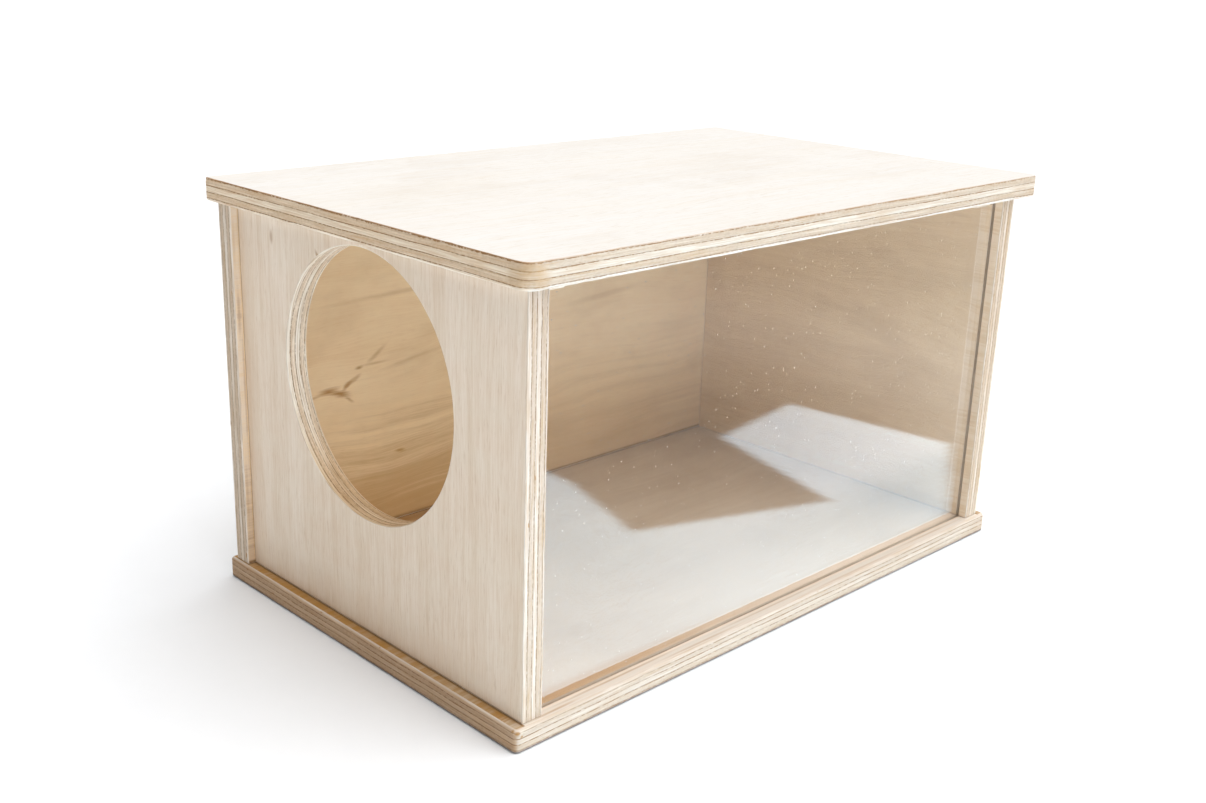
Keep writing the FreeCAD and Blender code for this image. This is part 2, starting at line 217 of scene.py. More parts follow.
def lathe(bm, start, axis, profile, segments):
    """A closed turned solid. profile holds (distance along the axis, radius) pairs."""
    side, up = [Vector((0, 0, 0)), Vector((0, 0, 0))]
    side[(axis + 1) % 3] = 1
    up[(axis + 2) % 3] = 1
    forward = Vector((0, 0, 0))
    forward[axis] = 1
    rings = []
    for distance, radius in profile:
        rings.append([
            start + forward * distance
            + side * (radius * math.cos(2 * math.pi * i / segments))
            + up * (radius * math.sin(2 * math.pi * i / segments))
            for i in range(segments)
        ])
    loft(bm, rings)


def add_box(bm, low, high):
    """A plain block added to a cutter."""
    corners = [(low[0], low[1]), (high[0], low[1]), (high[0], high[1]), (low[0], high[1])]
    loft(bm, [[(x, y, z) for x, y in corners] for z in (low[2], high[2])])


def cut(obj, bm):
    """Take the cutter's solids out of the object's mesh."""
    cutter = finish_mesh(f"{obj.name}_cutter", bm)
    modifier = obj.modifiers.new("cut", "BOOLEAN")
    modifier.operation = "DIFFERENCE"
    modifier.solver = "EXACT"
    modifier.object = cutter
    bpy.context.view_layer.update()
    evaluated = obj.evaluated_get(bpy.context.evaluated_depsgraph_get())
    mesh = bpy.data.meshes.new_from_object(evaluated)
    obj.modifiers.clear()
    old = obj.data
    obj.data = mesh
    mesh.name = obj.name
    bpy.data.meshes.remove(old)
    bpy.data.objects.remove(cutter)
    shade(mesh)


def islands(node):
    """The boxes of a CAD node's separate solids."""
    bm = bmesh.new()
    bm.from_mesh(frame["nodes"][node].data)
    bmesh.ops.remove_doubles(bm, verts=bm.verts, dist=0.01 * MM)
    seen, boxes = set(), []
    for first in bm.verts:
        if first in seen:
            continue
        stack, members = [first], []
        seen.add(first)
        while stack:
            vert = stack.pop()
            members.append(vert.co)
            for edge in vert.link_edges:
                other = edge.other_vert(vert)
                if other not in seen:
                    seen.add(other)
                    stack.append(other)
        boxes.append((
            Vector([min(co[k] for co in members) for k in range(3)]),
            Vector([max(co[k] for co in members) for k in range(3)]),
        ))
    bm.free()
    return boxes


# ---------------------------------------------------------------- materials

class Graph:
    """A material's node tree, with short calls for the nodes that the woods need."""

    def __init__(self, name):
        self.material = bpy.data.materials.new(name)
        self.material.use_nodes = True
        self.nodes = self.material.node_tree.nodes
        self.links = self.material.node_tree.links
        self.shader = self.nodes["Principled BSDF"]

    def put(self, socket, value):
        """Link the value to the socket if it is a socket, or set it."""
        if isinstance(value, bpy.types.NodeSocket):
            self.links.new(value, socket)
        elif value is not None:
            socket.default_value = value

    def node(self, kind, *values, **settings):
        """A new node with these settings, and these values in its first inputs."""
        made = self.nodes.new(kind)
        for key, value in settings.items():
            setattr(made, key, value)
        for socket, value in zip(made.inputs, values):
            self.put(socket, value)
        return made

    def math(self, operation, *values, clamp=False):
        return self.node("ShaderNodeMath", *values, operation=operation, use_clamp=clamp).outputs[0]

    def vector(self, x, y, z):
        return self.node("ShaderNodeCombineXYZ", x, y, z).outputs[0]

    def noise(self, vector, scale, detail=2.0, roughness=0.5):
        made = self.node("ShaderNodeTexNoise")
        self.put(made.inputs["Vector"], vector)
        made.inputs["Scale"].default_value = scale
        made.inputs["Detail"].default_value = detail
        made.inputs["Roughness"].default_value = roughness
        return made.outputs[0]

    def ramp(self, factor, *stops):
        made = self.node("ShaderNodeValToRGB", factor)
        elements = made.color_ramp.elements
        while len(elements) < len(stops):
            elements.new(0.5)
        for element, (position, colour) in zip(elements, sorted(stops, key=lambda stop: stop[0])):
            element.position = position
            element.color = (*colour, 1.0)
        return made.outputs[0]

    def spread(self, value, low, high, to_low=0.0, to_high=1.0):
        """Map low..high smoothly to to_low..to_high."""
        made = self.node(
            "ShaderNodeMapRange", value, low, high, to_low, to_high, interpolation_type="SMOOTHSTEP")
        return made.outputs[0]

    def mix(self, factor, first, second, blend="MIX"):
        made = self.nodes.new("ShaderNodeMix")
        made.data_type = "RGBA"
        made.blend_type = blend
        self.put(made.inputs[0], factor)
        for socket, value in ((made.inputs[6], first), (made.inputs[7], second)):
            self.put(socket, value if isinstance(value, bpy.types.NodeSocket) else (*value, 1.0))
        return made.outputs[2]

    def finish(self, colour, roughness, height, bump_mm, strength):
        """Wire up the shader, with the height as bump, and hand over the material."""
        bump = self.nodes.new("ShaderNodeBump")
        bump.inputs["Strength"].default_value = strength
        bump.inputs["Distance"].default_value = bump_mm * MM
        self.put(bump.inputs["Height"], height)
        self.put(self.shader.inputs["Base Color"], colour)
        self.put(self.shader.inputs["Roughness"], roughness)
        self.put(self.shader.inputs["Normal"], bump.outputs[0])
        return self.material

    def millimetres(self):
        """The three object coordinates in millimetres."""
        source = self.node("ShaderNodeTexCoord").outputs["Object"]
        split = self.node("ShaderNodeSeparateXYZ", source)
        return [self.math("MULTIPLY", split.outputs[k], 1 / MM) for k in range(3)]


# The light and the dark tone of each board's face. The inside faces of the back, the right side and the base are
# warmer and mostly darker than the outside faces: partly the wood's own colour, partly painted shade of the box's
# inside with the warmth of light bounced between its walls. The lid's pale tone is partly its paler veneer and
# partly a painted highlight, the whiteness of its brightly lit top.
CREAM = (0.950, 0.820, 0.685)
TAN = (0.812, 0.648, 0.483)
PALE_CREAM = (0.795, 0.774, 0.748)
PALE_TAN = (0.770, 0.722, 0.658)
BACK_CREAM = (0.970, 0.765, 0.492)
BACK_TAN = (0.830, 0.595, 0.335)
HONEY = (0.880, 0.682, 0.430)
DARK_HONEY = (0.660, 0.455, 0.240)
BASE_CREAM = (0.655, 0.530, 0.395)
BASE_TAN = (0.530, 0.400, 0.275)
# Stains, marks and glue, and painted shade: the ledge colour is painted shade on the ledges beside the panels,
# the shade colour a painted shadow under the base's lowest arris; the glue colour also paints shadow in the
# joints, and the streak and knot colours also paint broad soft marks of shade.
LEDGE_PAINTED_SHADE = (0.430, 0.270, 0.125)
STREAK_AND_SHADE = (0.410, 0.195, 0.032)
KNOT_AND_SHADE = (0.420, 0.205, 0.045)
GLUE_AND_JOINT_SHADE = (0.300, 0.170, 0.070)
SCORCH = (0.530, 0.340, 0.155)
TORN = (0.370, 0.185, 0.060)
SHADE = (0.170, 0.155, 0.145)
# Plies of the cut edges
PLY_LIGHT = (0.900, 0.820, 0.715)
PLY_MIDDLE = (0.850, 0.765, 0.655)
PLY_BROWN = (0.670, 0.530, 0.390)
KNOT_FROM = 0.75               # a mark of more strength than this takes the knot's colour, not the streak's


def tinted(colour, *factors):
    """The colour with its three channels scaled, all by one factor or each by its own."""
    return [c * k for c, k in zip(colour, factors * 3 if len(factors) == 1 else factors)]


def veneer(
        name, along, across, seed, pale=CREAM, dark=TAN, wave=16.0, marks=(), tone_zones=(), seams=(),
        grain=1.0, clouds=0.0, gloss=0.5):
    """Rotary-cut birch face with its grain along one axis.

    wave is how far the grain lines wander. marks are brown streaks and knots, and broad soft marks of painted
    shade: (along, across, length, width, turn in degrees, strength). tone_zones are (colour, axis, sign,
    distance) and tint what lies further out than the distance on that side. seams are (axis, position, half
    width) and darken a joint line: a glue line, with painted shadow in the joint. grain scales the fine lines,
    clouds the soft brown patches, and gloss the shine.
    """
    g = Graph(name)
    raw = g.millimetres()
    u, v = raw[along], g.math("MULTIPLY_ADD", raw[3 - along - across], 0.6, raw[across])
    shift = 61.7 * seed

    def layer(scale_along, scale_across, source, offset, detail=2.0, roughness=0.5):
        where = g.vector(
            g.math("MULTIPLY", u, scale_along), g.math("MULTIPLY", source, scale_across), shift + offset)
        return g.noise(where, 1.0, detail, roughness)

    bend = layer(0.008, 0.022, v, 0.0)
    warped = g.math("MULTIPLY_ADD", bend, wave, v)
    figure = layer(0.0040, 0.075, warped, 1.0, 3.0, 0.55)
    drift = layer(0.007, 0.013, v, 5.0)
    rings = layer(0.0075, 0.34, warped, 9.0, 2.0)
    fibre = layer(0.055, 1.55, warped, 3.0, 4.0, 0.68)
    pores = layer(0.190, 2.40, warped, 2.0, 2.0, 0.5)
    ripple = layer(0.11, 0.045, v, 7.0)

    broad = g.math("MULTIPLY_ADD", figure, 0.65, g.math("MULTIPLY", drift, 0.55))
    tone = g.spread(rings, 0.34, 0.68, 0.0, 0.24 * grain)
    tone = g.math("MULTIPLY_ADD", g.spread(broad, 0.42, 0.80), 0.42, tone)
    fine = 0.23 * grain
    tone = g.math("ADD", tone, g.spread(fibre, 0.36, 0.66, 0.23 - fine, 0.23 + fine), clamp=True)
    colour = g.mix(tone, pale, dark)
    colour = g.mix(g.spread(pores, 0.57, 0.72, 0.0, 0.34 * grain), colour, tinted(dark, 0.78, 0.70, 0.60))
    colour = g.mix(g.spread(fibre, 0.60, 0.80, 0.0, 0.30 * grain), colour, tinted(dark, 0.82, 0.76, 0.68))
    if clouds:
        cloud = layer(0.016, 0.034, warped, 13.0, 4.0, 0.6)
        colour = g.mix(g.spread(cloud, 0.46, 0.70, 0.0, clouds), colour, tinted(dark, 0.70, 0.62, 0.52))
    # painted sheen: the ripple figure of the birch as faint lighter bands across the grain
    painted_ripple_sheen = [min(0.9, channel) for channel in tinted(pale, 1.08)]
    colour = g.mix(g.spread(ripple, 0.35, 0.70, 0.0, 0.10), colour, painted_ripple_sheen)

    frayed = g.math("MULTIPLY", g.math("SUBTRACT", g.math("ADD", fibre, rings), 1.0), 1.1)
    mottle = g.spread(g.math("ADD", fibre, rings), 0.88, 1.16, 1.0, 0.58)
    for zone_colour, axis, sign, distance in tone_zones:
        outward = g.math("MULTIPLY_ADD", raw[axis], sign, g.math("MULTIPLY", frayed, 0.35))
        cover = g.math("MULTIPLY", g.spread(outward, distance, distance + 0.8, 0.0, 0.93), mottle)
        colour = g.mix(cover, colour, zone_colour)
    for place_along, place_across, length, width, turn, strength in marks:
        spot = g.node("ShaderNodeMapping", g.vector(u, raw[across], 0.0), vector_type="TEXTURE")
        spot.inputs["Location"].default_value = (place_along, place_across, 0)
        spot.inputs["Rotation"].default_value = (0, 0, math.radians(turn))
        spot.inputs["Scale"].default_value = (length, width, 1)
        reach = g.node("ShaderNodeVectorMath", spot.outputs[0], operation="LENGTH").outputs["Value"]
        cover = g.spread(g.math("ADD", reach, frayed), 0.1, 1.25, strength, 0.0)
        # the broad soft marks paint shade; the small ones are streaks and knots
        colour = g.mix(cover, colour, KNOT_AND_SHADE if strength > KNOT_FROM else STREAK_AND_SHADE)
    # dark joint lines in the glue's colour: a glue line, with painted shadow in the joint
    for axis, position, half_width in seams:
        away = g.math("ABSOLUTE", g.math("SUBTRACT", raw[axis], position))
        away = g.math("MULTIPLY_ADD", frayed, 0.3 * half_width, away)
        colour = g.mix(g.spread(away, 0.35 * half_width, half_width, 0.85, 0.0), colour, GLUE_AND_JOINT_SHADE)

    g.shader.inputs["Specular IOR Level"].default_value = gloss
    height = g.math("MULTIPLY_ADD", pores, -0.7, g.math("MULTIPLY", fibre, -0.7))
    roughness = g.spread(fibre, 0.3, 0.75, 0.52, 0.70)
    return g.finish(colour, roughness, height, 0.12, 0.6)


def ply_edge(
        name, thin, start, glue_lines_mm, thickness_mm, seed, plies, end_axis=X, end_tone=(1.0, 1.0, 1.0),
        torn=(0.0, 0.0), foot=False, spots=(), one_sided=False, weathered=1.0):
    """The cut edge of plywood: plies in turn along and across the grain, with dark glue lines.

    thin is the board's thickness axis, and start its lower face there. Sides that face along end_axis, or
    only its positive end if one_sided, take end_tone. torn is how strongly the lower and the upper arris are
    scorched. The contact-shadow flag paints a dark shadow on the lowest arris, where the board stands on the
    floor. spots are (x, y, z, radius, strength, colour). weathered scales the brown threads and patches.
    """
    g = Graph(name)
    raw = g.millimetres()
    u, v = raw[(thin + 1) % 3], raw[(thin + 2) % 3]
    w = g.math("SUBTRACT", raw[thin], start / MM)
    shift = 17.3 * seed

    def layer(scale_along, scale_thin, offset, detail=2.0, roughness=0.5):
        where = g.vector(
            g.math("MULTIPLY", u, scale_along), g.math("MULTIPLY", v, scale_along),
            g.math("MULTIPLY_ADD", w, scale_thin, shift + offset))
        return g.noise(where, 1.0, detail, roughness)

    slow = layer(0.035, 0.15, 0.0)
    quick = layer(0.70, 0.50, 0.0)
    wander = g.math("MULTIPLY_ADD", slow, 1.1, g.math("MULTIPLY_ADD", quick, 0.26, -0.68))
    level = g.math("DIVIDE", g.math("ADD", w, wander), thickness_mm)

    stops, dark, cross = [], [], []
    edges = (0.0, *glue_lines_mm, thickness_mm)
    for k, ((low, high), ply) in enumerate(zip(zip(edges, edges[1:]), plies)):
        stops.append(((low + 0.15) / thickness_mm, ply))
        stops.append(((high - 0.35) / thickness_mm, ply))
        for height in (low + 0.05, high - 0.05):
            cross.append((height / thickness_mm, (float(k % 2),) * 3))
    for line in glue_lines_mm:
        for offset, shade in ((-0.26, 0.0), (-0.08, 1.0), (0.08, 1.0), (0.24, 0.0)):
            dark.append(((line + offset) / thickness_mm, (shade,) * 3))
    colour = g.ramp(level, *stops)
    glue = g.ramp(level, (0.0, (0, 0, 0)), *dark, (1.0, (0, 0, 0)))
    crosswise = g.ramp(level, *cross)

    specks = layer(0.75, 1.5, 0.0, 3.0, 0.6)
    threads = layer(0.045, 2.1, 4.0, 3.0, 0.62)
    hairs = layer(0.075, 4.2, 8.0, 2.0, 0.6)
    patches = layer(0.045, 0.45, 3.0)
    rough_ply = g.math("MULTIPLY", crosswise, g.spread(specks, 0.45, 0.66, 0.0, 0.34))
    colour = g.mix(g.spread(threads, 0.42, 0.64, 0.0, 0.62 * weathered), colour, tinted(PLY_BROWN, 0.88))
    colour = g.mix(g.spread(hairs, 0.50, 0.66, 0.0, 0.55 * weathered), colour, SCORCH)
    colour = g.mix(rough_ply, colour, tinted(PLY_BROWN, 0.66))
    colour = g.mix(g.spread(threads, 0.50, 0.30, 0.0, 0.42), colour, PLY_LIGHT)
    colour = g.mix(g.spread(patches, 0.48, 0.74, 0.0, 0.38 * weathered), colour, SCORCH)
    broken = g.math(
        "MULTIPLY", g.spread(quick, 0.30, 0.58, 0.25, 1.0), g.spread(slow, 0.3, 0.6, 0.55, 1.0))
    colour = g.mix(g.math("MULTIPLY", glue, broken), colour, GLUE_AND_JOINT_SHADE)
    knots = layer(0.20, 0.75, 11.0, 1.0)
    colour = g.mix(g.spread(knots, 0.74, 0.82, 0.0, 0.8), colour, STREAK_AND_SHADE)

    normal = g.node("ShaderNodeTexCoord").outputs["Normal"]
    facing = g.node("ShaderNodeSeparateXYZ", normal).outputs[end_axis]
    if not one_sided:
        facing = g.math("ABSOLUTE", facing)
    toned = g.mix(g.spread(facing, 0.3, 0.9), (1.0, 1.0, 1.0), end_tone)
    colour = g.mix(1.0, colour, toned, "MULTIPLY")

    for x, y, z, radius, strength, paint in spots:
        away = g.node("ShaderNodeVectorMath", g.vector(*raw), (x, y, z), operation="DISTANCE")
        away = away.outputs["Value"]
        away = g.math("MULTIPLY_ADD", g.math("SUBTRACT", threads, 0.5), 1.6 * radius, away)
        colour = g.mix(g.spread(away, 0.3 * radius, radius, strength, 0.0), colour, paint)

    ragged = g.math("ADD", threads, g.math("MULTIPLY_ADD", quick, 1.7, -1.12))
    for strength, depth in zip(torn, (w, g.math("SUBTRACT", thickness_mm, w))):
        if strength:
            cover = g.spread(g.math("SUBTRACT", depth, ragged), 0.12, 0.42, strength, 0.0)
            cover = g.math("MULTIPLY", cover, g.spread(facing, 0.3, 0.9, 0.45, 1.0))
            colour = g.mix(cover, colour, TORN)

    # painted shadow: the lowest arris darkens where the board stands on the floor
    if foot:
        colour = g.mix(g.spread(w, 0.75, 1.25, 0.92, 0.0), colour, SHADE)

    height = g.math("MULTIPLY_ADD", rough_ply, -0.8, g.math("MULTIPLY", threads, -0.5))
    height = g.math("MULTIPLY_ADD", glue, -0.9, height)
    roughness = g.spread(specks, 0.3, 0.7, 0.55, 0.80)
    return g.finish(colour, roughness, height, 0.16, 0.8)


def clear_acrylic(name, roughness=0.0, dust=0.45):
    """Cast acrylic with specks of dust, bigger in the dust's share of the cells. Roughness is for sawn edges."""
    g = Graph(name)
    where = g.node("ShaderNodeTexCoord").outputs["Object"]
    cells = g.node("ShaderNodeTexVoronoi", where)
    cells.inputs["Scale"].default_value = 470.0
    cell = g.node("ShaderNodeSeparateColor", cells.outputs["Color"])
    size = g.spread(cell.outputs[0], 1.0 - dust, 1.0, 0.03, 0.105)
    speck = g.math("LESS_THAN", cells.outputs["Distance"], size)
    clear = g.math("MULTIPLY_ADD", speck, -0.55, 0.55 if roughness else 1.0)
    g.put(g.shader.inputs["Transmission Weight"], clear)
    g.shader.inputs["IOR"].default_value = 1.49
    if roughness:
        scores = g.noise(where, 900.0, 3.0, 0.6)
        colour = g.mix(scores, (0.90, 0.93, 0.92), (0.97, 0.98, 0.97))
        return g.finish(colour, g.spread(scores, 0.3, 0.7, 0.6 * roughness, roughness), scores, 0.05, 0.6)
    g.shader.inputs["Base Color"].default_value = (0.985, 0.99, 0.985, 1.0)
    g.shader.inputs["Roughness"].default_value = 0.0
    return g.material


def screw_steel():
    """Dull plated steel with scratches."""
    g = Graph("screw_steel")
    x, y, z = g.millimetres()
    stretched = g.vector(g.math("MULTIPLY", x, 2.0), g.math("MULTIPLY", y, 9.0), g.math("MULTIPLY", z, 4.0))
    scratches = g.noise(stretched, 1.0, 3.0, 0.6)
    dull = g.noise(g.vector(x, y, z), 0.7, 2.0)
    g.shader.inputs["Metallic"].default_value = 1.0
    colour = g.mix(g.spread(dull, 0.35, 0.7, 0.0, 0.5), (0.66, 0.64, 0.58), (0.42, 0.38, 0.31))
    roughness = g.spread(scratches, 0.3, 0.7, 0.24, 0.48)
    return g.finish(colour, roughness, scratches, 0.02, 0.5)


# ---------------------------------------------------------------- boards

PLAY = 0.15 * MM               # clearance round the pane, and beyond a screw's point
OPEN_TOP = 0.05                # how far the grooves' cutter reaches above the pane, so that they end open
ENTRANCE_REACH = 53 * MM       # an edge polygon this close to the entrance's axis is its wall
SCREW_HEAD_RADIUS_MM, SCREW_CLEARANCE_RADIUS_MM, SCREW_PILOT_RADIUS_MM = 3.4, 1.6, 1.5
COUNTERSINK_MM, BOARD_MM = 1.8, 9.0
PIN_HOLE_MM = [(-0.3, 1.2), (0.8, 1.2), (0.8001, 0.7), (10.0, 0.7)]    # depth and radius

pane_low, pane_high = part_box("front_pane")
groove_low = pane_low - Vector((PLAY, PLAY, PLAY))
groove_high = pane_high + Vector((PLAY, PLAY, OPEN_TOP))
entrance = next(m for m in frame["record"]["mounts"] if m["name"] == "entrance")
base_screws = islands("base_screws")
back_screws = islands("back_screws")
block_pins = islands("block_pins")


def screw_hole(bm, box, axis, board_face, sign):
    """Countersink, clearance hole through the first board, and pilot hole in the next."""
    low, high = box
    start = (low + high) / 2
    start[axis] = board_face
    length = high[axis] - low[axis] + PLAY
    profile = [
        (-0.4, SCREW_HEAD_RADIUS_MM), (0.0, SCREW_HEAD_RADIUS_MM),
        (COUNTERSINK_MM, SCREW_CLEARANCE_RADIUS_MM), (BOARD_MM, SCREW_CLEARANCE_RADIUS_MM),
        (BOARD_MM + 0.0001, SCREW_PILOT_RADIUS_MM), (length / MM, SCREW_PILOT_RADIUS_MM),
    ]
    lathe(bm, start, axis, [(sign * d * MM, r * MM) for d, r in profile], 40)


def screw_cutter():
    bm = bmesh.new()
    for box in base_screws:
        screw_hole(bm, box, Z, 0.0, 1)
    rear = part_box("back_panel")[1][Y]
    for box in back_screws:
        screw_hole(bm, box, Y, rear, -1)
    return bm


def pin_cutter():
    bm = bmesh.new()
    for low, high in block_pins:
        start = (low + high) / 2
        start[Z] = low[Z]
        lathe(bm, start, Z, [(d * MM, r * MM) for d, r in PIN_HOLE_MM], 24)
    return bm


def groove_cutter():
    bm = bmesh.new()
    add_box(bm, groove_low, groove_high)
    return bm


def entrance_cutter(low, high, glue_lines):
    """Round hole whose wall has the same glue grooves and rounded arrises as the board's edges."""
    bm = bmesh.new()
    levels = edge_levels(high[X] - low[X], glue_lines, ARRIS, ARRIS)
    radius = entrance["dims"]["r_mm"] * MM
    centre = Vector((low[X], *entrance["pos_m"][1:]))
    profile = [(-MM, radius + levels[0][1])]
    profile += [(height, radius + inset) for height, inset in levels]
    profile += [(high[X] - low[X] + MM, radius + levels[-1][1])]
    lathe(bm, centre, X, profile, RIM_STEPS)
    return bm


def dress(obj, node, body, thin, face, edge, bore, outer):
    """Give a board its materials by where its faces lie, and put it on its body in place of the CAD node.

    The slots are the face, the cut edge, the entrance's wall, and the face that looks out of the box.
    """
    low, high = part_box(node)
    obj.data.materials.clear()
    for material in (face, edge, bore or edge, outer or face):
        obj.data.materials.append(material)
    far = max(low[thin], high[thin], key=abs)
    hub = Vector(entrance["pos_m"])
    for polygon in obj.data.polygons:
        at = polygon.center[thin]
        flat = abs(polygon.normal[thin]) > 0.99
        if flat and min(abs(at - low[thin]), abs(at - high[thin])) < ON_FACE:
            polygon.material_index = 3 if abs(at - far) < ON_FACE else 0
        elif bore and (polygon.center - hub).yz.length < ENTRANCE_REACH:
            polygon.material_index = 2
        else:
            polygon.material_index = 1
    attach(obj, body)
    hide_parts(node)


def lines(*heights_mm):
    return tuple(h * MM for h in heights_mm)


def make_board(
        name, node, body, axes, radii_mm, glue_mm, plies, face, seed, cutters, chips=10,
        rounds_mm=(ARRIS / MM, ARRIS / MM), bore=None, outer=None, **edge_settings):
    """A plywood board in the box of its CAD node. The edge settings are those of ply_edge."""
    low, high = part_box(node)
    thin = axes[2]
    obj = board_mesh(name, low, high, axes, lines(*radii_mm), lines(*glue_mm), lines(*rounds_mm), chips)
    for cutter in cutters:
        cut(obj, cutter)
    edge = ply_edge(
        f"{name}_edge", thin, low[thin], glue_mm, (high[thin] - low[thin]) / MM, seed, plies, **edge_settings)
    dress(obj, node, body, thin, face, edge, bore, outer)


PLIES = (PLY_LIGHT, PLY_BROWN, PLY_MIDDLE, PLY_BROWN, PLY_LIGHT)
LEFT_PLIES = ((0.74, 0.66, 0.58), (0.61, 0.50, 0.40), (0.77, 0.69, 0.61), (0.61, 0.50, 0.40), (0.78, 0.70, 0.62))
BASE_PLIES = ((0.67, 0.58, 0.49), (0.62, 0.52, 0.42), (0.67, 0.585, 0.50), (0.61, 0.51, 0.415), (0.655, 0.57, 0.49))
LID_PLIES = ((0.88, 0.89, 0.87), (0.63, 0.55, 0.45), (0.78, 0.75, 0.68), (0.63, 0.55, 0.45), (0.81, 0.79, 0.74))
RIGHT_PLIES = ((0.73, 0.65, 0.565), (0.59, 0.47, 0.35), (0.74, 0.66, 0.57), (0.59, 0.47, 0.35), (0.75, 0.665, 0.555))
BORE_PLIES = ((0.99, 0.93, 0.82), (0.94, 0.82, 0.67), (0.99, 0.93, 0.82), (0.90, 0.76, 0.59), (0.99, 0.92, 0.79))

# Where the boards and the pane meet. The pane's figures are distances to the front of the origin.
BASE_TOP_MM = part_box("base_plate")[1][Z] / MM
BACK_INNER_MM, BACK_OUTER_MM = (corner[Y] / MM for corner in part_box("back_panel"))
SIDE_OUTER_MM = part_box("right_side_panel")[1][X] / MM
PANE_FRONT_MM, PANE_REAR_MM = -pane_low[Y] / MM, -pane_high[Y] / MM
# Joint lines of the side faces: glue lines with painted shadow in the joints
SIDE_SEAMS = [(Z, BASE_TOP_MM, 1.0), (Y, BACK_INNER_MM, 0.8)]

BASE_MARKS = [
    # along the front ledge
    (-128.0, -88.4, 13.0, 0.7, 0.8, 0.5), (-96.0, -86.4, 34.0, 0.6, 0.2, 0.5), (-52.0, -88.6, 26.0, 0.6, -0.3, 0.35),
    (-8.0, -86.6, 36.0, 0.5, 0.2, 0.4), (46.0, -88.8, 40.0, 0.7, 0.2, 0.3), (104.0, -87.0, 30.0, 0.6, -0.2, 0.4),
    # along the left ledge
    (-145.6, -70.0, 1.4, 5.0, 0.0, 0.5), (-145.2, -44.0, 1.6, 3.0, 20.0, 0.45), (-146.2, -12.0, 1.2, 8.0, 0.0, 0.4),
    (-145.0, 35.0, 4.5, 90.0, 0.0, 0.74), (-144.2, -75.0, 0.9, 14.0, 0.0, 0.5), (-145.4, 22.0, 1.6, 6.0, 10.0, 0.5),
    (-146.0, 58.0, 1.3, 9.0, 0.0, 0.4),
    # painted shade in the rear left corner and behind the bottom of the pane
    (-84.0, 80.0, 60.0, 16.0, 0.0, 0.74), (-134.0, -79.0, 150.0, 5.0, 0.0, 0.76),
]
# Marks of the left face: a streak and a knot near the top, and broad soft marks of painted shade low along the bottom
# and by the back edge.
LEFT_MARKS = [
    (152.5, 59.0, 2.6, 1.0, 0.0, 0.45), (149.6, 26.6, 3.4, 0.9, 40.0, 0.9), (9.0, 20.0, 17.0, 120.0, 0.0, 0.20),
    (80.0, 84.5, 100.0, 11.0, 0.0, 0.22),
]
RIGHT_MARKS = [
    (10.5, 91.8, 1.2, 1.0, 0.0, 0.35), (14.0, 67.0, 8.0, 2.4, 12.0, 0.14), (-27.0, 127.0, 12.0, 1.4, -6.0, 0.12),
    (-66.0, 150.5, 7.0, 1.2, 0.0, 0.20),
]
BACK_MARKS = [
    # the branching knots that show through the entrance
    (-104.5, 76.8, 6.5, 1.5, 2.0, 0.95), (-98.0, 74.4, 6.5, 1.9, -14.0, 0.95), (-94.0, 71.4, 3.4, 1.0, -35.0, 0.6),
    (-95.2, 77.6, 3.2, 1.3, 38.0, 0.8), (-91.0, 80.0, 5.0, 1.2, 30.0, 0.5), (-88.6, 84.6, 2.8, 1.0, 4.0, 0.9),
    (-80.0, 85.2, 10.0, 0.9, 0.0, 0.40), (-79.0, 89.5, 6.5, 1.5, 34.0, 0.45), (-113.0, 75.2, 6.0, 0.9, 8.0, 0.45),
    # other streaks; painted shade along the floor, with a broad patch of it on the left; and a darker zone in the
    # upper left
    (-67.6, 41.9, 3.4, 1.0, -6.0, 0.7), (-70.0, 115.0, 40.0, 1.5, 1.0, 0.30), (-60.0, 84.0, 20.0, 1.4, 8.0, 0.3),
    (0.0, 8.0, 260.0, 60.0, 0.0, 0.41), (-75.0, 8.0, 95.0, 50.0, 0.0, 0.40), (-110.0, 130.0, 50.0, 30.0, 0.0, 0.10),
    (60.0, 96.0, 30.0, 1.8, 4.0, 0.25), (112.0, 70.0, 22.0, 8.0, 0.0, 0.18),
    # on the strip that stands proud of the left panel
    (-144.8, 118.0, 0.9, 12.0, 0.0, 0.45), (-143.9, 84.0, 0.5, 30.0, 0.0, 0.35), (-145.6, 146.0, 0.9, 12.0, 0.0, 0.2),
    (-145.2, 40.0, 0.8, 18.0, 0.0, 0.25),
]

base_face = veneer(
    "base_face", X, Y, 1, BASE_CREAM, BASE_TAN, marks=BASE_MARKS, grain=0.4, clouds=0.2, gloss=0.2,
    tone_zones=[
        # painted light: the strip round the bottom of the pane and the front ledge take lighter tones than the inside
        # floor
        ((0.86, 0.74, 0.63), Y, -1, PANE_REAR_MM - 4.9),
        ((0.715, 0.655, 0.585), Y, -1, PANE_FRONT_MM + 0.7),
        # painted shade on the ledges beside the side panels and behind the back panel
        (LEDGE_PAINTED_SHADE, X, -1, SIDE_OUTER_MM - 0.65),
        (LEDGE_PAINTED_SHADE, X, 1, SIDE_OUTER_MM - 0.65),
        (LEDGE_PAINTED_SHADE, Y, 1, BACK_OUTER_MM - 0.4),
    ],
    seams=[(X, -SIDE_OUTER_MM - 0.1, 0.7), (X, SIDE_OUTER_MM + 0.1, 0.7), (Y, BACK_INNER_MM, 0.5)],
)
